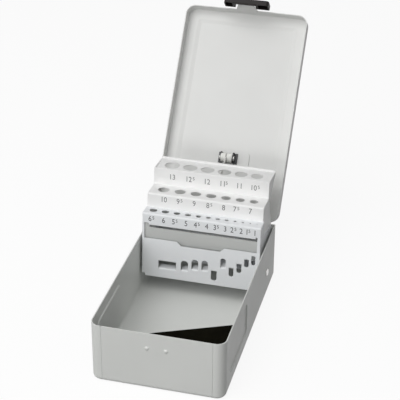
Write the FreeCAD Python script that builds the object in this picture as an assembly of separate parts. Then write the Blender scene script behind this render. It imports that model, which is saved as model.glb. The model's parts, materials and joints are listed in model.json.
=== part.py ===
import FreeCAD
import Part
import os
from math import asin, atan2, cos, degrees, hypot, pi, radians, sin, tan

# A sheet-steel drill index case: a tray, a hinged lid with a latch clip, and a stepped rack of
# drill holes that a strap lifts as the lid opens. X runs to the right, Y to the rear and Z up,
# and the origin is the middle of the tray's underside. The pose is the open case.

# Sheet and common fits
sheet = 0.8
running_gap = 0.05
slide_gap = 0.3
seat_gap = 0.2
overrun = 2.0

# Tray
tray_width = 111.6
tray_depth = 189.6
tray_height = 54.5
bottom_bend = 4.0
front_corner = 8.0
flap_reach = 9.8
lap_depth = 3.0
lap_margin = 4.0
seam = 0.12
recess_setback = 16.8
recess_length = 63.0
recess_low = 12.0
recess_drop = 9.5
recess_radius = 6.0
recess_step = 1.0
recess_slope = 1.5
catch_spread = 15.8
catch_drop = 14.5
catch_radius = 1.9
catch_rise = 1.0

# Black lining on the front of the floor
lining = 0.3
lining_gap = 0.5
lining_left = 57.1
lining_right = 104.3

# Lid hinge
pin_radius = 1.1
pin_end_round = 0.5
hinge_rise = 0.5
knuckle_shares = (0.215, 0.5735, 0.8244)
knuckle_gap = 0.3
knuckle_room = 0.4
lid_travel = 127.2

# Lid
lid_gap = 0.4
lid_rise = 10.3
lid_overlap = 1.5
lid_corner = 9.0
lid_bend = 2.0
lid_step = 0.8
lid_step_width = 4.0
lid_step_inset = 9.4
lid_step_corner = 2.5
rear_relief = 11.0
tongue_root = 10.4
tongue_tip = 7.4
tongue_length = 9.4
tongue_lean = 15.0

# Latch clip
clip_width = 41.4
clip_shift = 1.4
clip_above = 2.6
clip_front = 1.5
clip_back = 3.3
clip_wall = 1.1
clip_edge = 0.8
clip_chamfer = 2.6
clip_pocket_gap = 0.35
clip_cheek = 2.2
clip_pin_radius = 0.8
ridge_half = 11.0
ridge_height = 1.3
ridge_rise = 0.4
ridge_gap = 0.25
catch_gap = 0.2
clip_rest = 8.0

# Rack, measured up its front plate and back from it
rack_gap = 2.0
rack_lean = 4.5
rack_room = 4.2
rack_foot_height = 17.3
rack_bend = 1.6
rack_edge = 0.38
side_edge = 0.5
front_height = 61.6
middle_rise = 13.4
rear_rise = 15.6
front_depth = 13.0
middle_step = 20.2
rear_step = 25.0
tier_lap = 1.4
foot_flange = 9.0
corner_notch_width = 3.0
corner_notch_height = 2.3
wing_foot = 1.2
heel_cut = 4.4
wing_heel_height = 9.0
wing_depth = 50.4
wing_top = 42.0
ear_foot = 30.0
kink_step = 4.3
kink_drop = 19.8
waist_step = 4.2
waist_drop = 12.3
rear_ear_drop = 2.6
tray_recess = 1.0
rear_lip = 1.8
rear_lip_drop = 2.6
lip_corner = 1.6

# Drill holes, largest first from the left, in steps of half a millimetre
front_sizes = (6.5, 6.0, 5.5, 5.0, 4.5, 4.0, 3.5, 3.0, 2.5, 2.0, 1.5, 1.0)
middle_sizes = (10.0, 9.5, 9.0, 8.5, 8.0, 7.5, 7.0)
rear_sizes = (13.0, 12.5, 12.0, 11.5, 11.0, 10.5)
hole_clearance = 0.3
front_margin_shares = (0.0795, 0.077)
middle_margin_shares = (0.1677, 0.1776)
rear_margin_shares = (0.2254, 0.2577)
front_row = 7.2
middle_row_step = 10.0
rear_row_step = 11.0

# Window in the front plate
window_left_rim = 2.0
window_right_rim = 2.8
window_band = 10.8
window_tall = 13.6
window_dip = 3.7
dip_top_half = 21.4
dip_foot_half = 17.6
relief_height = 1.6
relief_left = 4.0
relief_right = 1.6

# Lanced stops for the small drills: level and height are shares of the window's lower edge
stop_level_shares = (0.247, 0.272, 0.333, 0.349, 0.361, 0.495, 0.508, 0.642, 0.788, 0.898)
stop_slot_shares = (0.207, 0.257, 0.265, 0.262, 0.245, 0.245, 0.215, 0.220, 0.190, 0.225)
stop_margin = 0.85
stop_side_gap = 0.15
stop_reach = 9.0
stop_bend = 1.2
small_stop_margin = 1.25
small_drill = 2.4

# Shelves low in the rack
guide_level = 22.0
bottom_level = 12.0
shelf_flange = 6.0
guide_overhang = 1.5
bottom_setback = 0.6

# Curved strip behind the window
strip_sheet = 0.5
strip_drop = 3.0
strip_lap = 1.0
strip_gap = 0.41
strip_near = 0.4
strip_bow = 2.0
strip_ear = 5.6
strip_ear_rise = 3.0

# Rack pivots
pivot_depth = 21.3
pivot_level = 8.8
pivot_radius = 2.0
pivot_head_radius = 3.0
pivot_head = 1.3
pivot_tail = 1.0
washer_radius = 4.2

# Lift link between lid and rack
plate_centre = 1.2
cheek_centre = 1.7
bracket_plate_half = 20.0
bracket_plate_before = 24.0
bracket_plate_beyond = 9.0
bracket_corner = 5.0
cheek_sheet = 1.0
cheek_spread = 12.4
cheek_before = 4.4
cheek_beyond = 5.4
cheek_foot = 3.6
cheek_drop = 8.2
cheek_corner = 2.5
link_below = 36.6
link_drop = 6.0
link_pin_radius = 1.2
link_head_radius = 2.1
link_head = 0.7
link_sheet = 1.0
link_side = 1.2
link_half = 3.2
spacer_radius = 4.0
lug_depth = 8.2
lug_sheet = 1.0
lug_half = 4.2
lug_foot = 7.0
lug_inset = 0.4
lug_rivet_radius = 1.2
lug_rivet_head = 0.6
lug_rivet_head_radius = 1.8
end_rivet_radius = 1.4
end_rivet_head = 0.6
end_rivet_head_radius = 2.2

# Places that follow from the sizes above
half_width = tray_width / 2
half_depth = tray_depth / 2
wall_inside = half_width - sheet
flap_edge = half_width - flap_reach
recess_front = recess_setback - half_depth
recess_rear = recess_front + recess_length
recess_high = tray_height - recess_drop
catch_height = tray_height - catch_drop
knuckle_radius = pin_radius + sheet
knuckle_edges = [share * half_width for share in knuckle_shares]
hinge_place = half_depth + pin_radius
hinge_height = tray_height + hinge_rise
lid_half = half_width + lid_gap + sheet
lid_front = half_depth + lid_gap + sheet
lid_height = tray_height + lid_rise
lid_edge_height = tray_height - lid_overlap
rack_front_place = half_depth - wing_depth - rack_room
rack_half = wall_inside - rack_gap
middle_height = front_height + middle_rise
rear_height = middle_height + rear_rise
middle_depth = front_depth + middle_step
rear_depth = middle_depth + rear_step
link_arm = rear_height - link_below
cheek_near = link_arm - cheek_before
cheek_far = link_arm + cheek_beyond
middle_row = front_depth + middle_row_step
rear_row = middle_depth + rear_row_step
window_high = front_height - window_band
window_low = window_high - window_tall
strip_high = window_high - strip_drop
strip_low = window_low - window_dip - strip_lap
wing_inside = rack_half - sheet
ear_inside = wing_inside - sheet
rack_fold = 90.0 + rack_lean
fold_share = rack_fold / lid_travel


def vector(x, y, z):
    return FreeCAD.Vector(x, y, z)


def block(x0, x1, y0, y1, z0, z1):
    """A box between two corners."""
    return Part.makeBox(x1 - x0, y1 - y0, z1 - z0, vector(x0, y0, z0))


def joined(shapes):
    """One solid of several that meet."""
    body = shapes[0]
    for shape in shapes[1:]:
        body = body.fuse(shape)
    return body.removeSplitter()


def outline(points, radii, place):
    """A closed wire through 2-D points, each corner rounded by its radius; place sets it in space."""
    count = len(points)
    starts = []
    edges = []
    for index in range(count):
        before = points[index - 1]
        here = points[index]
        after = points[(index + 1) % count]
        radius = radii[index] if isinstance(radii, (list, tuple)) else radii
        if radius <= 0:
            starts.append((here, here, None))
            continue
        a = (before[0] - here[0], before[1] - here[1])
        b = (after[0] - here[0], after[1] - here[1])
        la = hypot(a[0], a[1])
        lb = hypot(b[0], b[1])
        a = (a[0] / la, a[1] / la)
        b = (b[0] / lb, b[1] / lb)
        half = asin(hypot(a[0] + b[0], a[1] + b[1]) / 2)
        reach = radius / tan(pi / 2 - half)
        bisector = ((a[0] + b[0]) / (2 * sin(half)), (a[1] + b[1]) / (2 * sin(half)))
        mid_reach = radius / cos(half) - radius
        first = (here[0] + a[0] * reach, here[1] + a[1] * reach)
        last = (here[0] + b[0] * reach, here[1] + b[1] * reach)
        middle = (here[0] + bisector[0] * mid_reach, here[1] + bisector[1] * mid_reach)
        starts.append((first, last, middle))
    for index in range(count):
        first, last, middle = starts[index]
        following = starts[(index + 1) % count][0]
        if middle is not None:
            edges.append(Part.Arc(place(*first), place(*middle), place(*last)).toShape())
        if hypot(last[0] - following[0], last[1] - following[1]) > 1e-6 * sheet:
            edges.append(Part.LineSegment(place(*last), place(*following)).toShape())
    return Part.Wire(edges)


def prism_x(points, radii, x0, x1):
    """A YZ outline carried from x0 to x1."""
    wire = outline(points, radii, lambda y, z: vector(x0, y, z))
    return Part.Face(wire).extrude(vector(x1 - x0, 0, 0))


def prism_y(points, radii, y0, y1):
    """An XZ outline carried from y0 to y1."""
    wire = outline(points, radii, lambda x, z: vector(x, y0, z))
    return Part.Face(wire).extrude(vector(0, y1 - y0, 0))


def prism_z(points, radii, z0, z1):
    """An XY outline carried from z0 to z1."""
    wire = outline(points, radii, lambda x, y: vector(x, y, z0))
    return Part.Face(wire).extrude(vector(0, 0, z1 - z0))


def rod_x(y, z, radius, x0, x1):
    """A round bar along X."""
    return Part.makeCylinder(radius, x1 - x0, vector(x0, y, z), vector(1, 0, 0))


def headed_rod_x(y, z, radius, x0, x1, head_radius, low_head, high_head):
    """A rivet along X whose heads lie outside x0 and x1, rounded at their outer edges."""
    parts = [rod_x(y, z, radius, x0, x1)]
    for head, start, outer in ((low_head, x0 - low_head, x0 - low_head), (high_head, x1, x1 + high_head)):
        if head <= 0:
            continue
        disc = rod_x(y, z, head_radius, start, start + head)
        rim = [e for e in disc.Edges if abs(e.CenterOfMass.x - outer) < head / 4 and e.Closed]
        parts.append(disc.makeFillet(head * 0.7, rim[:1]))
    return joined(parts)


def rectangle(x0, x1, y0, y1):
    return [(x0, y0), (x1, y0), (x1, y1), (x0, y1)]


def raised_pad(x0, x1, y0, y1, corner, slope, z0, z1):
    """A flat pad whose sides slope in from z0 to z1."""
    wires = []
    for inset, z in ((0, z0), (slope, z1)):
        points = rectangle(x0 + inset, x1 - inset, y0 + inset, y1 - inset)
        wires.append(outline(points, corner, lambda x, y, z=z: vector(x, y, z)))
    return Part.makeLoft(wires, True, True)


# Tray

def wall_section():
    """The side wall's section as distances outward and up: floor bend, then the upright wall."""
    out = front_corner
    points = [
        (out - bottom_bend, 0),
        (out, 0),
        (out, tray_height),
        (out - sheet, tray_height),
        (out - sheet, sheet),
        (out - bottom_bend, sheet),
    ]
    return points, (0, bottom_bend, 0, 0, bottom_bend - sheet, 0)


def right_wall():
    """The right side wall with its floor bend, rounded front corner and front flap."""
    corner_x = half_width - front_corner
    corner_y = front_corner - half_depth
    points, radii = wall_section()
    straight = Part.Face(outline(points, radii, lambda d, z: vector(corner_x + d, corner_y, z)))
    side = straight.extrude(vector(0, half_depth - corner_y, 0))
    turn = straight.revolve(vector(corner_x, corner_y, 0), vector(0, 0, 1), -90)
    front = Part.Face(outline(points, radii, lambda d, z: vector(corner_x, corner_y - d, z)))
    flap = front.extrude(vector(flap_edge - corner_x, 0, 0))
    wall = joined([side, turn, flap])
    outside = side_recess(half_width + recess_step, half_width - recess_step, recess_slope)
    inside = side_recess(wall_inside + recess_step, wall_inside - recess_step, recess_slope)
    plate = side_recess(half_width - sheet / 2, wall_inside - recess_step, recess_slope)
    wall = wall.cut(outside).fuse(plate.common(inside).cut(outside))
    hole = rod_x(pivot_y, pivot_z, pivot_radius, wall_inside - overrun, half_width + overrun)
    return wall.cut(hole).removeSplitter()


def side_recess(x_outer, x_inner, slope):
    """The pressed panel in the side wall, from x_outer in to x_inner, its sides sloping in."""
    wires = []
    for share, x in ((0, x_outer), (1, x_inner)):
        inset = slope * share
        points = rectangle(recess_front + inset, recess_rear - inset,
                           recess_low + inset, recess_high - inset)
        wires.append(outline(points, recess_radius, lambda y, z, x=x: vector(x, y, z)))
    return Part.makeLoft(wires, True, True)


def mirrored(shape):
    return shape.mirror(vector(0, 0, 0), vector(1, 0, 0))


def knuckle_spans(first):
    """X spans of every second knuckle, the middle one first or the ones between."""
    centre, inner, outer = knuckle_edges
    gap = knuckle_gap / 2
    if first:
        return [(-centre, centre), (inner, outer), (-outer, -inner)]
    return [(centre + 2 * gap, inner - 2 * gap), (2 * gap - inner, -centre - 2 * gap)]


def knuckle(x0, x1, bore):
    """One rolled knuckle round the hinge pin."""
    barrel = rod_x(hinge_place, hinge_height, knuckle_radius, x0, x1)
    return barrel.cut(rod_x(hinge_place, hinge_height, bore, x0 - overrun, x1 + overrun))


def floor_pan():
    """Floor, front wall and rear wall bent from one strip, with the hinge knuckles rolled on top."""
    floor_half = half_width - bottom_bend
    floor_front = bottom_bend - half_depth
    floor_rear = half_depth - bottom_bend
    floor_points = rectangle(-floor_half, floor_half, floor_front, floor_rear)
    floor_radii = (front_corner - bottom_bend, front_corner - bottom_bend, 0, 0)
    floor = prism_z(floor_points, floor_radii, 0, sheet)
    front_points = [
        (floor_front, 0),
        (-half_depth, 0),
        (-half_depth, tray_height),
        (sheet - half_depth, tray_height),
        (sheet - half_depth, sheet),
        (floor_front, sheet),
    ]
    bend_radii = (0, bottom_bend, 0, 0, bottom_bend - sheet, 0)
    front = prism_x(front_points, bend_radii, seam - flap_edge, flap_edge - seam)
    rear_points = [(-y, z) for y, z in front_points]
    rear = prism_x(rear_points, bend_radii, -floor_half, floor_half)
    rear_ends = block(-wall_inside, wall_inside, half_depth - sheet, half_depth, bottom_bend, tray_height)
    parts = [floor, front, rear, rear_ends]
    lap_y = sheet - half_depth
    for side in (-1, 1):
        near = flap_edge - lap_depth
        far = flap_edge + lap_depth / 2
        x0, x1 = sorted((side * near, side * far))
        high = tray_height - lap_margin
        parts.append(block(x0, x1, lap_y, lap_y + sheet, bottom_bend + lap_margin, high))
        dome = Part.makeSphere((catch_radius ** 2 + catch_rise ** 2) / (2 * catch_rise))
        sink = (catch_radius ** 2 - catch_rise ** 2) / (2 * catch_rise)
        dome.translate(vector(side * catch_spread / 2, sink - half_depth, catch_height))
        front = block(-half_width, half_width, -half_depth - catch_radius, lap_y, 0, tray_height)
        parts.append(dome.common(front))
    pan = joined(parts)
    for x0, x1 in knuckle_spans(False):
        low = hinge_height - knuckle_radius - knuckle_room
        pan = pan.cut(block(x0 - knuckle_gap, x1 + knuckle_gap, half_depth - sheet - overrun,
                            half_depth + overrun, low, tray_height + overrun))
    for x0, x1 in knuckle_spans(True):
        web = block(x0, x1, half_depth - sheet, half_depth, tray_height - sheet, hinge_height)
        bore = rod_x(hinge_place, hinge_height, pin_radius, x0 - overrun, x1 + overrun)
        pan = pan.fuse(web.cut(bore)).fuse(knuckle(x0, x1, pin_radius))
    return pan.removeSplitter()


def floor_lining():
    """A thin dark sheet on the front of the floor, its rear edge cut slantwise."""
    side = half_width - bottom_bend - lining_gap
    front = bottom_bend - half_depth + lining_gap
    points = [(-side, front), (side, front), (side, front + lining_right), (-side, front + lining_left)]
    corner = front_corner - bottom_bend
    return prism_z(points, (corner, corner, 0, 0), sheet, sheet + lining)


def hinge_pin():
    """The lid's hinge pin, a rod with rounded ends."""
    end = knuckle_edges[-1]
    pin = rod_x(hinge_place, hinge_height, pin_radius, -end, end)
    rims = [e for e in pin.Edges if abs(abs(e.CenterOfMass.x) - end) < pin_end_round]
    return pin.makeFillet(pin_end_round, rims)


# Rack frame: x across, n back from the front plate's face, s up the plate

lean = radians(rack_lean)


def rack_point(n, s):
    """Y and Z of a point n behind and s up the front plate's face."""
    y = rack_front_place + n * cos(lean) + s * sin(lean)
    z = rack_foot_height + s * cos(lean) - n * sin(lean)
    return y, z


pivot_y, pivot_z = rack_point(pivot_depth, pivot_level)


def set_in_rack(shape):
    """Lean a shape built upright, with Y as n and Z as s, and put it on the rack's place."""
    shape.rotate(vector(0, 0, 0), vector(1, 0, 0), -rack_lean)
    shape.translate(vector(0, rack_front_place, rack_foot_height))
    return shape


def row_places(shares, sizes):
    """X of each hole in a row: what the drills leave of the width goes to two margins and even gaps."""
    free = 2 * rack_half - sum(sizes)
    web = free * (1 - sum(shares)) / (len(sizes) - 1)
    places = [free * shares[0] + sizes[0] / 2 - rack_half]
    for left, right in zip(sizes, sizes[1:]):
        places.append(places[-1] + (left + right) / 2 + web)
    return places


def drill_holes(places, sizes, row, low, high):
    """Round holes along s at each place of a row."""
    holes = []
    for x, size in zip(places, sizes):
        radius = (size + hole_clearance) / 2
        holes.append(Part.makeCylinder(radius, high - low, vector(x, row, low), vector(0, 0, 1)))
    return Part.makeCompound(holes)


front_places = row_places(front_margin_shares, front_sizes)
middle_places = row_places(middle_margin_shares, middle_sizes)
rear_places = row_places(rear_margin_shares, rear_sizes)


def rack_window():
    """The window through the front plate, with a dip in its lower edge and bend reliefs above."""
    low = window_low
    window_left = window_left_rim - rack_half
    window_right = rack_half - window_right_rim
    points = [
        (window_left, low),
        (-dip_top_half, low),
        (-dip_foot_half, low - window_dip),
        (dip_foot_half, low - window_dip),
        (dip_top_half, low),
        (window_right, low),
        (window_right, window_high + relief_height),
        (window_right - relief_right, window_high + relief_height),
        (window_right - relief_right, window_high),
        (window_left + relief_left, window_high),
        (window_left + relief_left, window_high + relief_height),
        (window_left, window_high + relief_height),
    ]
    return prism_y(points, 0, -overrun, sheet + overrun)


def bent_step(face, back, foot, top, half):
    """A face plate and its shelf, bent from one sheet along a rounded front edge."""
    points = [
        (face, foot),
        (face, top),
        (back, top),
        (back, top - sheet),
        (face + sheet, top - sheet),
        (face + sheet, foot),
    ]
    return prism_x(points, (0, rack_bend, 0, 0, rack_bend - sheet, 0), -half, half)


def soften_sides(body, half, face):
    """Round the two upright edges where a face plate turns into its ears."""
    edges = []
    for edge in body.Edges:
        box = edge.BoundBox
        upright = box.ZLength > front_depth and box.XLength < sheet / 4 and box.YLength < sheet / 4
        if upright and abs(abs(box.Center.x) - half) < sheet / 4 and abs(box.Center.y - face) < sheet / 4:
            edges.append(edge)
    return body.makeFillet(side_edge, edges)


def bend_corner(x0, x1, level, away):
    """What a rounded bend cuts away where a tab turns in, above (1) or below (-1) its level."""
    low, high = sorted((level - away * seam, level + away * stop_bend))
    corner = block(x0, x1, -overrun, stop_bend, low, high)
    return corner.cut(rod_x(stop_bend, level + away * stop_bend, stop_bend, x0 - overrun, x1 + overrun))


def stop_spans():
    """X from and to of each stop: the first takes two drills, the others one each."""
    first = front_places[1] - front_sizes[1] / 2 - stop_margin
    last = front_places[2] + front_sizes[2] / 2 - stop_margin
    spans = [(first, last)]
    for x, size in zip(front_places[3:], front_sizes[3:]):
        margin = small_stop_margin if size < small_drill else stop_margin
        spans.append((x - size / 2 - margin - sheet / 2, x + size / 2 + margin - sheet / 2))
    return spans


def lanced_stops():
    """Slots, bent-in tabs and their bends below the window: a tab stands under each small drill."""
    slots = []
    tabs = []
    bends = []
    for index, (x0, x1) in enumerate(stop_spans()):
        level = window_low * stop_level_shares[index]
        tall = window_low * stop_slot_shares[index]
        hangs = index in (4, 6, 7, 8, 9)
        low = level - tall if hangs else level
        high = level if hangs else level + tall
        arch = min((x1 - x0) / 2.2, tall / 3)
        if index == 0:
            corners = 0
        elif hangs:
            corners = (arch, arch, 0, 0)
        else:
            corners = (0, 0, arch, arch)
        slots.append(prism_y(rectangle(x0, x1, low, high), corners, -overrun, sheet + overrun))
        reach = min(stop_reach, tall + sheet)
        edge = level if hangs else level - sheet
        far = 0 if index == 0 else (x1 - x0 - 2 * stop_side_gap) / 2.2
        tab = rectangle(x0 + stop_side_gap, x1 - stop_side_gap, 0, reach)
        tabs.append(prism_z(tab, (0, 0, far, far), edge, edge + sheet))
        bends.append(bend_corner(x0, x1, level, 1 if hangs else -1))
    return slots, tabs, bends


def rack_front():
    """Front plate with window and lanced stops, the front shelf, the foot flange and both wings."""
    half = rack_half
    plate = bent_step(0, front_depth, 0, front_height, half)
    foot = block(-half + corner_notch_width, half - corner_notch_width, 0, foot_flange, 0, sheet)
    wing_points = [
        (0, wing_foot),
        (wing_depth - heel_cut, wing_foot),
        (wing_depth, wing_heel_height),
        (wing_depth, wing_top),
        (front_depth, wing_top + front_depth / 2),
        (front_depth, front_height),
        (0, front_height),
    ]
    parts = [plate, foot]
    for side in (-1, 1):
        x0, x1 = sorted((side * wing_inside, side * half))
        parts.append(prism_x(wing_points, (0, 0, 0, lap_margin, 0, 0, rack_bend), x0, x1))
    slots, tabs, bends = lanced_stops()
    body = joined(parts)
    for side in (-1, 1):
        x0, x1 = sorted((side * (half - corner_notch_width), side * (half + overrun)))
        body = body.cut(block(x0, x1, -overrun, sheet, -overrun, corner_notch_height))
    body = soften_sides(body, half, 0).cut(rack_window())
    for slot in slots:
        body = body.cut(slot)
    body = joined([body] + tabs)
    for corner in bends:
        body = body.cut(corner)
    body = body.cut(drill_holes(front_places, front_sizes, front_row, front_height - sheet - overrun,
                                front_height + overrun))
    bore = rod_x(pivot_depth, pivot_level, pivot_radius + running_gap, -half - overrun, half + overrun)
    return set_in_rack(body.cut(bore))


def rack_tier(front, ear_points, ear_radii, face, shelf_top, places, sizes, row):
    """A stepped channel: the front given, an ear at each end between the wings, and a row of holes."""
    half = wing_inside
    parts = list(front)
    for side in (-1, 1):
        x0, x1 = sorted((side * ear_inside, side * half))
        parts.append(prism_x(ear_points, ear_radii, x0, x1))
    body = soften_sides(joined(parts), half, face)
    return body.cut(drill_holes(places, sizes, row, shelf_top - sheet - overrun, shelf_top + overrun))


def rack_middle():
    """The middle tier, which steps up behind the front shelf."""
    foot = front_height - tier_lap
    front = bent_step(front_depth, middle_depth, foot, middle_height, wing_inside)
    ear = rectangle(front_depth, middle_depth, ear_foot, middle_height)
    return set_in_rack(rack_tier([front], ear, (0, 0, 0, rack_bend), front_depth, middle_height,
                                 middle_places, middle_sizes, middle_row))


def rack_rear():
    """The rear tier: a shelf set just below its front edge, with a rounded lip along the back."""
    shelf_top = rear_height - tray_recess
    kink_depth = middle_depth + kink_step
    kink_height = rear_height - kink_drop
    ear = [
        (middle_depth, ear_foot),
        (wing_depth - sheet, ear_foot),
        (wing_depth - sheet, wing_top),
        (kink_depth + waist_step, kink_height - waist_drop),
        (kink_depth, kink_height),
        (rear_depth, shelf_top - rear_ear_drop),
        (rear_depth, shelf_top),
        (middle_depth, rear_height),
    ]
    upright = prism_x(rectangle(middle_depth, middle_depth + sheet, middle_height - tier_lap, rear_height),
                      (0, 0, 0, rack_edge), -wing_inside, wing_inside)
    shelf = block(-wing_inside, wing_inside, middle_depth, rear_depth, shelf_top - sheet, shelf_top)
    radii = (0, 0, 0, 0, 0, 0, 0, rack_edge)
    body = rack_tier([upright, shelf], ear, radii, middle_depth, shelf_top,
                     rear_places, rear_sizes, rear_row)
    lip = prism_y(rectangle(-wing_inside, wing_inside, shelf_top - rear_lip_drop, shelf_top + rear_lip),
                  (0, 0, lip_corner, lip_corner), rear_depth - sheet, rear_depth)
    return set_in_rack(joined([body, lip]))


def rack_shelf(level, back, holed):
    """A shelf between the wings with an upturned flange at each end."""
    half = wing_inside
    shelf_front = front_depth + sheet + slide_gap
    parts = [block(-half, half, shelf_front, back, level, level + sheet)]
    for side in (-1, 1):
        x0, x1 = sorted((side * (half - sheet), side * half))
        flange_back = min(back, wing_depth) - sheet
        parts.append(block(x0, x1, shelf_front, flange_back, level - shelf_flange, level + sheet))
    body = joined(parts)
    if holed:
        low = level - overrun
        high = level + sheet + overrun
        body = body.cut(drill_holes(middle_places, middle_sizes, middle_row, low, high))
        body = body.cut(drill_holes(rear_places, rear_sizes, rear_row, low, high))
    room = pivot_head_radius + slide_gap
    body = body.cut(rod_x(pivot_depth, pivot_level, room, -rack_half, rack_half))
    return set_in_rack(body)


def strip_arc(turn, inset):
    """A point of the strip's section: turn from its upright top, inset from its front face."""
    tall = strip_high - strip_low
    bend = (tall ** 2 + strip_bow ** 2) / (2 * strip_bow)
    angle = asin(tall / bend) * turn
    n = sheet + strip_near + bend - (bend - inset) * cos(angle)
    return vector(-wing_inside, n, strip_high - (bend - inset) * sin(angle))


def retainer_strip():
    """A strip behind the window that curves back to its foot, its left end reaching up behind the plate."""
    front = Part.Arc(strip_arc(0, 0), strip_arc(0.5, 0), strip_arc(1, 0)).toShape()
    far = strip_sheet
    back = Part.Arc(strip_arc(1, far), strip_arc(0.5, far), strip_arc(0, far)).toShape()
    foot = Part.LineSegment(strip_arc(1, 0), strip_arc(1, far)).toShape()
    top = Part.LineSegment(strip_arc(0, far), strip_arc(0, 0)).toShape()
    strip = Part.Face(Part.Wire([front, foot, back, top])).extrude(vector(2 * wing_inside, 0, 0))
    near = sheet + strip_near
    ear = block(-wing_inside, strip_ear - wing_inside, near, near + strip_sheet,
                strip_high, window_high + strip_ear_rise)
    last_stop = stop_spans()[-1][0] - slide_gap
    room = block(last_stop, rack_half, 0, front_depth, strip_low - overrun,
                 window_low * stop_level_shares[-1] + sheet + strip_gap)
    return set_in_rack(joined([strip.cut(room), ear]))


def pivot_rivet(side):
    """The rivet that carries one side of the rack, domed outside and upset inside the wing."""
    inner = wing_inside - pivot_tail
    shank = rod_x(pivot_y, pivot_z, pivot_radius, wing_inside, half_width)
    head = headed_rod_x(pivot_y, pivot_z, pivot_radius, wing_inside, half_width,
                        pivot_head_radius, 0, pivot_head)
    tail = rod_x(pivot_y, pivot_z, pivot_head_radius, inner - seat_gap, wing_inside - seat_gap)
    neck = rod_x(pivot_y, pivot_z, pivot_radius, wing_inside - seat_gap, wing_inside)
    rivet = joined([shank, head, neck, tail])
    return rivet if side > 0 else mirrored(rivet)


def pivot_washer(side):
    """The washer that keeps the rack's wing off the tray wall."""
    ring = rod_x(pivot_y, pivot_z, washer_radius, rack_half + seat_gap, wall_inside)
    ring = ring.cut(rod_x(pivot_y, pivot_z, pivot_radius, rack_half - overrun, half_width))
    return ring if side > 0 else mirrored(ring)


# Lid frame: built closed and swung open about the hinge pin

def swing_open(shape):
    """Turn a piece of the closed lid back to the open pose."""
    shape.rotate(vector(0, hinge_place, hinge_height), vector(1, 0, 0), -lid_travel)
    return shape


def opened(y, z):
    """Where a point of the closed lid lies with the lid open."""
    turn = radians(lid_travel)
    dy = y - hinge_place
    dz = z - hinge_height
    return hinge_place + dy * cos(turn) + dz * sin(turn), hinge_height - dy * sin(turn) + dz * cos(turn)


def rounded_pan(half, front, rear, corner, bend, low, high):
    """A block with rounded upright corners and a rounded top edge."""
    block_solid = prism_z(rectangle(-half, half, -front, rear), corner, low, high)
    rim = [e for e in block_solid.Edges if abs(e.BoundBox.ZMin - high) < sheet / 8]
    return block_solid.makeFillet(bend, rim)


def tongue_end():
    """Y and Z of the latch pin in the closed lid."""
    slope = radians(tongue_lean)
    y = -lid_front + sheet / 2 - tongue_length * sin(slope) - (clip_pin_radius + sheet / 2) * cos(slope)
    z = lid_edge_height - tongue_length * cos(slope) + (clip_pin_radius + sheet / 2) * sin(slope)
    return y, z


latch_y, latch_z = tongue_end()


def latch_tongue():
    """The tapered tongue below the front rim, curled round the latch pin."""
    slope = radians(tongue_lean)
    root = -lid_front
    drop = sheet * 2
    points = [(-tongue_root, lid_edge_height + drop), (tongue_root, lid_edge_height + drop),
              (tongue_tip, latch_z), (-tongue_tip, latch_z)]
    taper = prism_y(points, 0, latch_y - knuckle_radius, root + sheet)
    end_y = root - tongue_length * sin(slope)
    end_z = lid_edge_height - tongue_length * cos(slope)
    sheet_points = [(root, lid_edge_height + drop), (root + sheet, lid_edge_height + drop),
                    (root + sheet, lid_edge_height),
                    (end_y + sheet * cos(slope), end_z - sheet * sin(slope)),
                    (end_y, end_z), (root, lid_edge_height)]
    strip = prism_x(sheet_points, 0, -tongue_root, tongue_root)
    curl = rod_x(latch_y, latch_z, clip_pin_radius + sheet, -tongue_tip, tongue_tip)
    tongue = joined([strip.common(taper), curl])
    return tongue.cut(rod_x(latch_y, latch_z, clip_pin_radius + running_gap, -clip_width, clip_width))


def lid_shell():
    """Drawn lid: flat panel with a raised field, rim all round, rear knuckles and latch tongue."""
    outer = rounded_pan(lid_half, lid_front, half_depth, lid_corner, lid_bend, lid_edge_height, lid_height)
    inner = rounded_pan(lid_half - sheet, lid_front - sheet, half_depth - sheet, lid_corner - sheet,
                        lid_bend - sheet, lid_edge_height - overrun, lid_height - sheet)
    shell = outer.cut(inner)
    pads = []
    for level in (lid_height, lid_height - sheet):
        pads.append(raised_pad(-lid_half + lid_step_inset, lid_half - lid_step_inset,
                               -lid_front + lid_step_inset, half_depth - lid_step_inset,
                               lid_step_corner, lid_step_width, level - sheet / 8, level + lid_step))
    shell = shell.fuse(pads[0]).cut(pads[1])
    rear_low = tray_height + slide_gap
    shell = shell.cut(block(-lid_half - overrun, lid_half + overrun, half_depth - rear_relief,
                            half_depth + overrun, lid_edge_height - overrun, rear_low))
    for x0, x1 in knuckle_spans(True):
        high = hinge_height + knuckle_radius + knuckle_room
        shell = shell.cut(block(x0 - knuckle_gap, x1 + knuckle_gap, half_depth - sheet - overrun,
                                half_depth + overrun, lid_edge_height, high))
    for x0, x1 in knuckle_spans(False):
        web = block(x0, x1, half_depth - sheet, half_depth, hinge_height, hinge_height + knuckle_radius)
        bore = rod_x(hinge_place, hinge_height, pin_radius + running_gap, x0 - overrun, x1 + overrun)
        shell = shell.cut(bore).fuse(web.cut(bore)).fuse(knuckle(x0, x1, pin_radius + running_gap))
    shell = shell.fuse(latch_tongue())
    return swing_open(shell.removeSplitter())


def link_pin_closed():
    """Y and Z of the link's upper pin with the lid closed."""
    return hinge_place - link_arm, lid_height - sheet - link_drop


def bracket_plate():
    """The plate that stiffens the lid where the two cheeks are fixed."""
    top = lid_height - sheet + lid_step
    points = rectangle(plate_centre - bracket_plate_half, plate_centre + bracket_plate_half,
                       hinge_place - link_arm - bracket_plate_beyond,
                       hinge_place - link_arm + bracket_plate_before)
    return swing_open(prism_z(points, bracket_corner, top - sheet, top))


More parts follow.
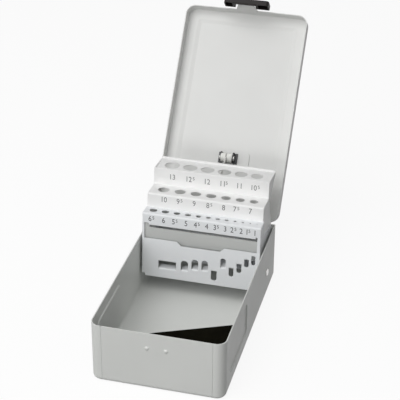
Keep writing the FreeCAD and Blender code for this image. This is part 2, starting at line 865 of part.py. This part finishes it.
def link_cheek(side):
    """An angle on the plate: its foot turned away from the link, its cheek bored for the link's pin."""
    top = lid_height - 2 * sheet + lid_step
    pin_y, pin_z = link_pin_closed()
    outer = cheek_centre + side * cheek_spread / 2
    x0, x1 = sorted((outer - side * cheek_sheet, outer))
    foot_x0, foot_x1 = sorted((outer - side * cheek_sheet, outer - side * (cheek_sheet - cheek_foot)))
    far = hinge_place - cheek_far
    near = hinge_place - cheek_near
    points = rectangle(far, near, lid_height - sheet - cheek_drop, top)
    cheek = prism_x(points, (cheek_corner, cheek_corner, 0, 0), x0, x1)
    angle = joined([cheek, block(foot_x0, foot_x1, far, near, top - cheek_sheet, top)])
    return swing_open(angle.cut(rod_x(pin_y, pin_z, link_pin_radius, x0 - overrun, x1 + overrun)))


def link_pin():
    """The pin across the bracket's cheeks, headed at both ends."""
    pin_y, pin_z = link_pin_closed()
    low = cheek_centre - cheek_spread / 2
    high = cheek_centre + cheek_spread / 2
    return swing_open(headed_rod_x(pin_y, pin_z, link_pin_radius, low, high,
                                   link_head_radius, link_head, link_head))


def link_spacers():
    """Two tubes on the pin that hold the link between the cheeks."""
    pin_y, pin_z = link_pin_closed()
    low = cheek_centre - cheek_spread / 2 + cheek_sheet
    high = cheek_centre + cheek_spread / 2 - cheek_sheet
    tubes = []
    for x0, x1 in ((low, link_side - seat_gap), (link_side + link_sheet + seat_gap, high)):
        tube = rod_x(pin_y, pin_z, spacer_radius, x0, x1)
        bore = rod_x(pin_y, pin_z, link_pin_radius + running_gap, x0 - overrun, x1 + overrun)
        tubes.append(tube.cut(bore))
    return swing_open(Part.makeCompound(tubes))


def folded_in_rack(y, z):
    """Distances back and up the rack of a point, once the rack lies folded on its front plate."""
    return z - pivot_z + pivot_depth, pivot_y - y + pivot_level


def in_rack(y, z):
    """Distances back and up the rack of a point, with the rack raised."""
    dy = y - rack_front_place
    dz = z - rack_foot_height
    return dy * cos(lean) - dz * sin(lean), dy * sin(lean) + dz * cos(lean)


def lower_link_place():
    """Where the link meets the rack: as far from the upper pin with the case open as closed."""
    closed_pin = link_pin_closed()
    n_open, s_open = in_rack(*opened(*closed_pin))
    n_shut, s_shut = folded_in_rack(*closed_pin)
    n = middle_depth + lug_depth
    square = (n_shut ** 2 + s_shut ** 2 - n_open ** 2 - s_open ** 2) / 2
    return n, (square - n * (n_shut - n_open)) / (s_shut - s_open)


link_n, link_s = lower_link_place()


def lift_link():
    """The strap from the lid's bracket to the rack, in the open pose."""
    upper = opened(*link_pin_closed())
    lower = rack_point(link_n, link_s)
    length = hypot(upper[0] - lower[0], upper[1] - lower[1])
    angle = degrees(atan2(upper[1] - lower[1], upper[0] - lower[0]))
    bar = prism_x(rectangle(-link_half, length + link_half, -link_half, link_half), link_half * 0.98,
                  link_side, link_side + link_sheet)
    bar = bar.cut(rod_x(0, 0, end_rivet_radius, -tray_width, tray_width))
    bar = bar.cut(rod_x(length, 0, link_pin_radius + running_gap, -tray_width, tray_width))
    bar.rotate(vector(0, 0, 0), vector(1, 0, 0), angle)
    bar.translate(vector(0, lower[0], lower[1]))
    return bar


def link_rivet():
    """The rivet in the strap's lower end."""
    y, z = rack_point(link_n, link_s)
    return headed_rod_x(y, z, end_rivet_radius, link_side, link_side + link_sheet, end_rivet_head_radius,
                        0, end_rivet_head)


def lug_plane():
    """X of the lug's two faces, beside the strap."""
    high = link_side - seat_gap
    return high - lug_sheet, high


def rack_lug():
    """The angle lug on the back of the rear tier's face plate, beside the strap's end."""
    x0, x1 = lug_plane()
    face = middle_depth + sheet
    low, high = lug_foot_levels()
    points = [
        (face, low),
        (link_n, link_s - lug_half),
        (link_n + lug_half, link_s - lug_half),
        (link_n + lug_half, link_s + lug_half),
        (face + lug_half, high),
        (face, high),
    ]
    corner = lug_half / 2
    upright = prism_x(points, (0, corner, corner, corner, corner, 0), x0, x1)
    foot = block(x1 - lug_foot, x1, face, face + lug_sheet, low, high)
    lug = joined([upright, foot])
    lug = lug.cut(rod_x(link_n, link_s, end_rivet_radius + running_gap, -tray_width, tray_width))
    for s in lug_rivet_levels():
        lug = lug.cut(lug_rivet_rod(s, lug_rivet_radius, face, face + lug_sheet))
    return set_in_rack(lug)


def lug_foot_levels():
    """The lower and upper edge of the lug's foot on the rear tier's face plate."""
    low = middle_height - tier_lap + lug_inset
    return low, low + 2 * lug_half


def lug_rivet_levels():
    low, high = lug_foot_levels()
    return low + lug_half / 2, high - lug_half / 2


def lug_rivet_x():
    return lug_plane()[0] - (lug_foot - lug_sheet) / 2


def lug_rivet_rod(s, radius, n0, n1):
    return Part.makeCylinder(radius, n1 - n0, vector(lug_rivet_x(), n0, s), vector(0, 1, 0))


def lug_rivets():
    """Two short rivets whose heads hold the lug's foot."""
    face = middle_depth + sheet
    rivets = []
    for s in lug_rivet_levels():
        shank = lug_rivet_rod(s, lug_rivet_radius, face, face + lug_sheet)
        head = lug_rivet_rod(s, lug_rivet_head_radius, face + lug_sheet, face + lug_sheet + lug_rivet_head)
        rivets.append(joined([shank, head]))
    return set_in_rack(Part.makeCompound(rivets))


# Latch

def swing_clip(shape):
    """Swing a piece of the latched clip outward to its rest and open it with the lid."""
    shape.rotate(vector(0, latch_y, latch_z), vector(1, 0, 0), -clip_rest)
    return swing_open(shape)


def clip_pocket():
    """Half width of the clip's notch, which clears the tongue where it is widest beside the clip."""
    widening = (tongue_root - tongue_tip) * (clip_above + clip_back) / tongue_length
    return tongue_tip + widening + clip_pocket_gap


def latch_clip():
    """Moulded clip, hollow behind, with a pocket for the tongue and a ridge along its foot."""
    left = clip_shift - clip_width / 2
    right = clip_shift + clip_width / 2
    ridge_low = catch_height - catch_radius - catch_gap - ridge_height
    low = ridge_low - ridge_rise
    high = latch_z + clip_above
    front = latch_y - clip_front
    back = latch_y + clip_back
    points = rectangle(left, right, low, high)
    body = prism_y(points, (clip_chamfer, clip_chamfer, clip_edge, clip_edge), front, back)
    rim = [e for e in body.Edges if abs(e.BoundBox.YMax - front) < sheet / 8]
    body = body.makeFillet(clip_edge, rim)
    hollow = prism_y(rectangle(left + clip_wall, right - clip_wall, low + clip_wall, high - clip_wall),
                     clip_edge, front + clip_wall, back + overrun)
    pocket = clip_pocket()
    cheeks = []
    for side in (-1, 1):
        x0, x1 = sorted((side * pocket, side * (pocket + clip_cheek)))
        cheeks.append(block(x0, x1, front + clip_wall / 2, back, low + clip_wall / 2, high - clip_wall / 2))
    body = body.cut(hollow)
    body = joined([body] + cheeks)
    curl = clip_pin_radius + sheet + clip_pocket_gap
    body = body.cut(block(-pocket, pocket, front - overrun, back + overrun, latch_z - curl, high + overrun))
    reach = -half_depth - ridge_gap
    ridge = block(-ridge_half, ridge_half, front + clip_wall / 2, reach,
                  ridge_low, ridge_low + ridge_height)
    body = joined([body, ridge])
    body = body.cut(rod_x(latch_y, latch_z, clip_pin_radius, -pocket - clip_cheek, pocket + clip_cheek))
    return swing_clip(body)


def latch_pin():
    """The pin through the clip's cheeks and the curled tongue."""
    end = clip_pocket() + clip_cheek
    return swing_clip(rod_x(latch_y, latch_z, clip_pin_radius, -end, end))


def build_nodes():
    right = right_wall()
    return {
        "floor_pan": floor_pan(),
        "right_side_wall": right,
        "left_side_wall": mirrored(right),
        "floor_lining": floor_lining(),
        "hinge_pin": hinge_pin(),
        "right_pivot_rivet": pivot_rivet(1),
        "left_pivot_rivet": pivot_rivet(-1),
        "right_pivot_washer": pivot_washer(1),
        "left_pivot_washer": pivot_washer(-1),
        "lid_shell": lid_shell(),
        "bracket_plate": bracket_plate(),
        "right_link_cheek": link_cheek(1),
        "left_link_cheek": link_cheek(-1),
        "link_pin": link_pin(),
        "link_spacers": link_spacers(),
        "lift_link": lift_link(),
        "link_rivet": link_rivet(),
        "latch_clip": latch_clip(),
        "latch_pin": latch_pin(),
        "rack_front": rack_front(),
        "rack_middle": rack_middle(),
        "rack_rear": rack_rear(),
        "guide_shelf": rack_shelf(guide_level, wing_depth + guide_overhang, True),
        "bottom_shelf": rack_shelf(bottom_level, wing_depth - bottom_setback, False),
        "retainer_strip": retainer_strip(),
        "rack_lug": rack_lug(),
        "lug_rivets": lug_rivets(),
    }


def main():
    os.makedirs("parts", exist_ok=True)
    for name, shape in build_nodes().items():
        box = shape.BoundBox
        print(name, "solids", len(shape.Solids), "valid", shape.isValid(), "volume", round(shape.Volume, 2),
              "box", [round(v, 2) for v in (box.XMin, box.XMax, box.YMin, box.YMax, box.ZMin, box.ZMax)])
        shape.exportStep("parts/" + name + ".step")
    link = hypot(*[a - b for a, b in zip(opened(*link_pin_closed()), rack_point(link_n, link_s))])
    print("rack pivot", round(pivot_y, 3), round(pivot_z, 3))
    print("rack fold", rack_fold, "ratio", round(fold_share, 5))
    print("link length", round(link, 3), "lower pin in the rack", round(link_n, 3), round(link_s, 3))


main()
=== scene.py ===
"""The open drill index case: its paint, plating, plastic and numbers, on a pale floor in soft light."""

import json
from math import cos, radians, sin

import bpy
import numpy as np
from mathutils import Matrix, Vector


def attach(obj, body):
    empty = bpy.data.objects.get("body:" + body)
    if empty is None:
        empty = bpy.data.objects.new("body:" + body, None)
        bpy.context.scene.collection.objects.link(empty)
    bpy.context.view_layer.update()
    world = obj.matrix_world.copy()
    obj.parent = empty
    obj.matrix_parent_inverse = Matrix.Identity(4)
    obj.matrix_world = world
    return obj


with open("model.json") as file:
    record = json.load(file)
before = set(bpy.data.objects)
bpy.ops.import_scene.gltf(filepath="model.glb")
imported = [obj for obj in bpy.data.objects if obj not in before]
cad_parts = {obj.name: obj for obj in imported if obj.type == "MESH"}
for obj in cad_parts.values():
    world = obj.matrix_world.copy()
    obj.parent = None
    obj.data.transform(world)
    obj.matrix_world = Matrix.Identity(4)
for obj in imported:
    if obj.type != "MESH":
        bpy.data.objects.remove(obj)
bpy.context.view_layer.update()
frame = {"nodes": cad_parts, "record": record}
MM = 0.001


# Materials

# Noise values lie mostly within the first span, and a two-tone colour changes over the second one.
NOISE_SPAN = (0.3, 0.7)
TONE_SPAN = (0.35, 0.65)
NOISE_ROUGHNESS = 0.55
BEVEL_SAMPLES = 4


def shader(name, colour, roughness, metallic=0.0, specular=0.5):
    """A finish with its plain values set on the shader itself, and Object coordinates for its pattern."""
    material = bpy.data.materials.new(name)
    material.use_nodes = True
    tree = material.node_tree
    surface = tree.nodes["Principled BSDF"]
    surface.inputs["Base Color"].default_value = (*colour, 1)
    surface.inputs["Roughness"].default_value = roughness
    surface.inputs["Metallic"].default_value = metallic
    surface.inputs["Specular IOR Level"].default_value = specular
    place = tree.nodes.new("ShaderNodeTexCoord")
    return material, tree, surface, place


def noise(tree, place, scale, detail=3.0):
    """Smooth noise of a scale per metre."""
    pattern = tree.nodes.new("ShaderNodeTexNoise")
    pattern.inputs["Scale"].default_value = scale
    pattern.inputs["Detail"].default_value = detail
    pattern.inputs["Roughness"].default_value = NOISE_ROUGHNESS
    tree.links.new(place.outputs["Object"], pattern.inputs["Vector"])
    return pattern


def cells(tree, place, scale):
    """Cells of a scale per metre, for a pebbled grain."""
    pattern = tree.nodes.new("ShaderNodeTexVoronoi")
    pattern.inputs["Scale"].default_value = scale
    tree.links.new(place.outputs["Object"], pattern.inputs["Vector"])
    return pattern


def two_tone(tree, pattern, colour, dark, light, surface):
    """The colour drifts between two shares of itself."""
    ramp = tree.nodes.new("ShaderNodeValToRGB")
    for element, position, share in zip(ramp.color_ramp.elements, TONE_SPAN, (dark, light)):
        element.position = position
        element.color = (*(channel * share for channel in colour), 1)
    tree.links.new(pattern.outputs["Fac"], ramp.inputs["Fac"])
    tree.links.new(ramp.outputs["Color"], surface.inputs["Base Color"])


def uneven_gloss(tree, pattern, low, high, surface):
    """The roughness drifts between two values."""
    drift = tree.nodes.new("ShaderNodeMapRange")
    drift.inputs["From Min"].default_value, drift.inputs["From Max"].default_value = NOISE_SPAN
    drift.inputs["To Min"].default_value = low
    drift.inputs["To Max"].default_value = high
    tree.links.new(pattern.outputs["Fac"], drift.inputs["Value"])
    tree.links.new(drift.outputs["Result"], surface.inputs["Roughness"])


def relief(tree, pattern, output, height, surface, edge=0.0):
    """Fine relief of a given height; edge rounds the look of the sheet's cut edges."""
    bump = tree.nodes.new("ShaderNodeBump")
    bump.inputs["Strength"].default_value = 1.0
    bump.inputs["Distance"].default_value = height
    tree.links.new(pattern.outputs[output], bump.inputs["Height"])
    if edge > 0:
        worn = tree.nodes.new("ShaderNodeBevel")
        worn.samples = BEVEL_SAMPLES
        worn.inputs["Radius"].default_value = edge
        tree.links.new(worn.outputs["Normal"], bump.inputs["Normal"])
    tree.links.new(bump.outputs["Normal"], surface.inputs["Normal"])


def powder_coat(name, colour, roughness):
    """Baked paint: an even colour with a faint drift, an orange-peel skin and a slightly uneven gloss."""
    material, tree, surface, place = shader(name, colour, roughness, specular=0.3)
    two_tone(tree, noise(tree, place, 18.0, detail=2.0), colour, 0.985, 1.012, surface)
    uneven_gloss(tree, noise(tree, place, 60.0), roughness - 0.04, roughness + 0.05, surface)
    relief(tree, noise(tree, place, 900.0, detail=2.0), "Fac", 0.012 * MM, surface, edge=0.22 * MM)
    return material


def plating(name, colour, roughness):
    """Plated steel, bright or darkened: metal with a fine grain and faint cloudy patches; the darkened one
    partly holds a painted dark reflection.
    """
    material, tree, surface, place = shader(name, colour, roughness, metallic=1.0)
    two_tone(tree, noise(tree, place, 140.0), colour, 0.86, 1.04, surface)
    uneven_gloss(tree, noise(tree, place, 420.0), roughness - 0.07, roughness + 0.1, surface)
    relief(tree, noise(tree, place, 2600.0, detail=2.0), "Fac", 0.0015 * MM, surface)
    return material


def moulded(name, colour, roughness):
    """Moulded plastic with a fine eroded grain."""
    material, tree, surface, place = shader(name, colour, roughness, specular=0.22)
    two_tone(tree, noise(tree, place, 90.0), colour, 0.8, 1.25, surface)
    relief(tree, cells(tree, place, 2200.0), "Distance", 0.01 * MM, surface, edge=0.3 * MM)
    return material


def lining_sheet(name, colour, roughness):
    """Matt black sheet with a pebbled grain and a trace of dust."""
    material, tree, surface, place = shader(name, colour, roughness, specular=0.04)
    two_tone(tree, noise(tree, place, 70.0, detail=4.0), colour, 0.75, 1.35, surface)
    relief(tree, cells(tree, place, 1400.0), "Distance", 0.04 * MM, surface)
    return material


def print_ink(name, colour):
    """Matt screen ink, a little thin in places."""
    material, tree, surface, place = shader(name, colour, roughness=0.55, specular=0.3)
    two_tone(tree, noise(tree, place, 1500.0), colour, 0.85, 1.3, surface)
    relief(tree, noise(tree, place, 4000.0), "Fac", 0.004 * MM, surface)
    return material


finishes = {
    "tray_paint": powder_coat("tray_paint_look", (0.722, 0.734, 0.711), 0.40),
    "lid_paint": powder_coat("lid_paint_look", (0.728, 0.731, 0.717), 0.40),
    "tier_paint": powder_coat("tier_paint_look", (0.890, 0.890, 0.884), 0.38),
    # The rack's paint is a shade darker and a little bluer than the tiers' paint: painted shade for the
    # rack's front plate, which lies low between the tray's walls.
    "rack_paint": powder_coat("rack_paint_shade_painted_look", (0.823, 0.839, 0.855), 0.38),
    "plated_steel": plating("plated_steel_look", (0.660, 0.655, 0.640), 0.28),
    # The clevis's near-black steel is partly its own dark finish and partly a painted dark reflection, since
    # the world shows white in reflections.
    "dark_steel": plating("dark_finish_and_painted_reflection_look", (0.060, 0.060, 0.062), 0.42),
    "clip_plastic": moulded("clip_plastic_look", (0.0090, 0.0068, 0.0056), 0.42),
    "nylon": moulded("nylon_look", (0.780, 0.780, 0.750), 0.45),
    "lining": lining_sheet("lining_look", (0.0040, 0.0036, 0.0018), 0.9),
}
front_ink = print_ink("front_ink", (0.055, 0.056, 0.060))
middle_ink = print_ink("middle_ink", (0.150, 0.150, 0.152))
rear_ink = print_ink("rear_ink", (0.110, 0.110, 0.113))

# The strip behind the window gets the tray's paint a shade darker: painted shade for the strip in its recess
# behind the plate.
shade_painted_looks = {"retainer_strip": powder_coat("strip_painted_shade_look", (0.565, 0.575, 0.562), 0.38)}

for part in frame["record"]["subparts"]:
    for held in frame["nodes"][part["node"]].material_slots:
        held.material = shade_painted_looks.get(part["node"], finishes[part["material_slot"]])


# Numbers on the tiers, in millimetres

LEAN = radians(4.5)
RACK_Y = 40.2
RACK_Z = 17.3
DIGIT_HEIGHT = 5.0
HALF_HEIGHT = 3.0
DIGIT_GAP = 0.9
NARROW = 0.84
CURVE_STEPS = 4
INK_THICKNESS = 0.03


def on_rack(x, back, up):
    """Points from arrays of x across, back from the front plate and up along it, all in millimetres."""
    y = RACK_Y + back * cos(LEAN) + up * sin(LEAN)
    z = RACK_Z + up * cos(LEAN) - back * sin(LEAN)
    return np.stack([x, y, z], axis=-1) * MM


def figures(text, narrow):
    """Flat figures of a plain typeface, one high and narrowed by a share: their points, faces and width."""
    curve = bpy.data.curves.new("figures", "FONT")
    curve.body = text
    curve.resolution_u = CURVE_STEPS
    holder = bpy.data.objects.new("figures", curve)
    bpy.context.scene.collection.objects.link(holder)
    flat = holder.to_mesh()
    points = np.empty(len(flat.vertices) * 3)
    flat.vertices.foreach_get("co", points)
    points = points.reshape(-1, 3)[:, :2]
    faces = [tuple(face.vertices) for face in flat.polygons]
    holder.to_mesh_clear()
    bpy.data.objects.remove(holder)
    low, high = points.min(axis=0), points.max(axis=0)
    points = (points - low) / (high[1] - low[1]) * (narrow, 1)
    return points, faces, points[:, 0].max()


def size_label(size):
    """A drill size as figures side by side: whole millimetres, then a small raised 5 for the half."""
    points, faces, width = figures(str(int(size)), NARROW)
    parts = [(points * DIGIT_HEIGHT, faces)]
    total = width * DIGIT_HEIGHT
    if size % 1:
        small, small_faces, small_width = figures("5", 1)
        shift = np.array([total + DIGIT_GAP, DIGIT_HEIGHT - HALF_HEIGHT])
        parts.append((small * HALF_HEIGHT + shift, small_faces))
        total += DIGIT_GAP + small_width * HALF_HEIGHT
    return parts, total


def number_row(name, sizes, places, up, back, ink):
    """One tier's numbers: flat figures laid on the face, each a thin film of ink that stands on it."""
    points = []
    faces = []
    count = 0
    for size, place in zip(sizes, places):
        parts, total = size_label(size)
        for flat, flat_faces in parts:
            x = place - total / 2 + flat[:, 0]
            level = up - DIGIT_HEIGHT / 2 + flat[:, 1]
            points.append(on_rack(x, np.full(len(x), back), level))
            faces += [tuple(index + count for index in face) for face in flat_faces]
            count += len(x)
    mesh = bpy.data.meshes.new(name)
    mesh.from_pydata(np.concatenate(points).tolist(), [], faces)
    mesh.materials.append(ink)
    row = bpy.data.objects.new(name, mesh)
    bpy.context.scene.collection.objects.link(row)
    film = row.modifiers.new("film", "SOLIDIFY")
    film.thickness = INK_THICKNESS * MM
    film.offset = 1.0
    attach(row, "rack")


FRONT_SIZES = (6.5, 6.0, 5.5, 5.0, 4.5, 4.0, 3.5, 3.0, 2.5, 2.0, 1.5, 1.0)
FRONT_AT = (-44.7, -33.7, -23.5, -13.5, -3.8, 5.0, 13.5, 21.4, 28.8, 35.6, 42.1, 47.8)
MIDDLE_SIZES = (10.0, 9.5, 9.0, 8.5, 8.0, 7.5, 7.0)
MIDDLE_AT = (-36.9, -23.1, -9.9, 3.7, 16.5, 27.8, 40.3)
REAR_SIZES = (13.0, 12.5, 12.0, 11.5, 11.0, 10.5)
REAR_AT = (-35.2, -18.8, -3.4, 11.6, 25.4, 39.9)

number_row("front_numbers", FRONT_SIZES, FRONT_AT, up=56.6, back=0.0, ink=front_ink)
number_row("middle_numbers", MIDDLE_SIZES, MIDDLE_AT, up=70.3, back=13.0, ink=middle_ink)
number_row("rear_numbers", REAR_SIZES, REAR_AT, up=83.4, back=33.2, ink=rear_ink)


# Floor and surroundings, which are white for the eye and dimmer for the light that they throw on the case

FLOOR_ALBEDO = 0.11
FLOOR_REACH = 3
SHADOW_SHARE = 0.10
DIM_SKY = (0.286, 0.286, 0.286, 1)
WHITE = (1.0, 1.0, 1.0, 1)

# A colour mix node has its factor and its two colours at these sockets; its names stand for other types too.
MIX_FACTOR, MIX_A, MIX_B, MIX_COLOUR = 0, 6, 7, 2


def ray_is(tree, kinds):
    """One where a ray is of any of the kinds, else nought."""
    path = tree.nodes.new("ShaderNodeLightPath")
    total = path.outputs[kinds[0]]
    for kind in kinds[1:]:
        larger = tree.nodes.new("ShaderNodeMath")
        larger.operation = "MAXIMUM"
        tree.links.new(total, larger.inputs[0])
        tree.links.new(path.outputs[kind], larger.inputs[1])
        total = larger.outputs[0]
    return total


def mixed(tree, factor, first, second):
    """Two shaders mixed by a factor, which is a number or a socket."""
    mix = tree.nodes.new("ShaderNodeMixShader")
    if isinstance(factor, float):
        mix.inputs[0].default_value = factor
    else:
        tree.links.new(factor, mix.inputs[0])
    tree.links.new(first.outputs[0], mix.inputs[1])
    tree.links.new(second.outputs[0], mix.inputs[2])
    return mix


def floor_material():
    """Plain grey to the light; white with a faint shadow to the camera and to reflections."""
    material, tree, surface, _ = shader("floor_look", (FLOOR_ALBEDO,) * 3, roughness=0.9, specular=0.0)
    bright = tree.nodes.new("ShaderNodeEmission")
    bright.inputs["Strength"].default_value = 1.0
    pale = tree.nodes.new("ShaderNodeBsdfDiffuse")
    pale.inputs["Color"].default_value = WHITE
    seen = mixed(tree, SHADOW_SHARE, bright, pale)
    either = mixed(tree, ray_is(tree, ["Is Camera Ray", "Is Glossy Ray"]), surface, seen)
    tree.links.new(either.outputs[0], tree.nodes["Material Output"].inputs["Surface"])
    return material


mesh = bpy.data.meshes.new("floor")
corners = [(-1, -1, 0), (1, -1, 0), (1, 1, 0), (-1, 1, 0)]
mesh.from_pydata([(x * FLOOR_REACH, y * FLOOR_REACH, z) for x, y, z in corners], [], [(0, 1, 2, 3)])
mesh.materials.append(floor_material())
floor = bpy.data.objects.new("floor", mesh)
bpy.context.scene.collection.objects.link(floor)

world = bpy.data.worlds.new("studio")
world.use_nodes = True
bpy.context.scene.world = world
tree = world.node_tree
sky = tree.nodes.new("ShaderNodeMix")
sky.data_type = "RGBA"
sky.inputs[MIX_A].default_value = DIM_SKY
sky.inputs[MIX_B].default_value = WHITE
white_for = ["Is Camera Ray", "Is Glossy Ray", "Is Transmission Ray"]
tree.links.new(ray_is(tree, white_for), sky.inputs[MIX_FACTOR])
backdrop = tree.nodes["Background"]
backdrop.inputs["Strength"].default_value = 1.0
tree.links.new(sky.outputs[MIX_COLOUR], backdrop.inputs["Color"])


# Lights, in metres and watts

AIM = Vector((0, 0.03, 0.06))
KEY_PLACE, KEY_WIDTH, KEY_POWER = (-0.40, -0.77, 1.39), 1.5, 17.5
FILL_PLACE, FILL_WIDTH, FILL_POWER = (-0.35, -1.50, 0.12), 0.8, 8.7


def softbox(name, place, width, power):
    """A square studio light at a place, turned to the case's middle."""
    light = bpy.data.lights.new(name, "AREA")
    light.shape = "SQUARE"
    light.size = width
    light.energy = power
    lamp = bpy.data.objects.new(name, light)
    bpy.context.scene.collection.objects.link(lamp)
    away = (Vector(place) - AIM).to_track_quat("Z", "Y")
    lamp.matrix_world = Matrix.Translation(Vector(place)) @ away.to_matrix().to_4x4()


softbox("key", KEY_PLACE, KEY_WIDTH, KEY_POWER)
softbox("fill", FILL_PLACE, FILL_WIDTH, FILL_POWER)


# Camera, fitted to the photograph's straight edges: angles in radians, the place and the sensor in
# millimetres, and the rest in pixels of the photograph

PHOTO_WIDTH = 400
FOCAL_LENGTH = 1329.262
CENTRE_X = 196.485
CENTRE_Y = 192.749
SENSOR = 36.0
YAW = 0.255
PITCH = 0.516
ROLL = 0.005
CAMERA_PLACE = Vector((244.782, -910.377, 665.675))

camera = bpy.data.cameras.new("camera")
camera.sensor_width = SENSOR
camera.lens = FOCAL_LENGTH / PHOTO_WIDTH * SENSOR
camera.shift_x = (PHOTO_WIDTH / 2 - CENTRE_X) / PHOTO_WIDTH
camera.shift_y = (CENTRE_Y - PHOTO_WIDTH / 2) / PHOTO_WIDTH
forward = Vector((-sin(YAW) * cos(PITCH), cos(YAW) * cos(PITCH), -sin(PITCH)))
level_right = Vector((cos(YAW), sin(YAW), 0))
level_up = level_right.cross(forward)
right = cos(ROLL) * level_right + sin(ROLL) * level_up
up = -sin(ROLL) * level_right + cos(ROLL) * level_up
stand = bpy.data.objects.new("camera", camera)
bpy.context.scene.collection.objects.link(stand)
turn = Matrix((right, up, -forward)).transposed().to_4x4()
stand.matrix_world = Matrix.Translation(CAMERA_PLACE * MM) @ turn
bpy.context.scene.camera = stand
bpy.context.scene.view_settings.view_transform = "Standard"
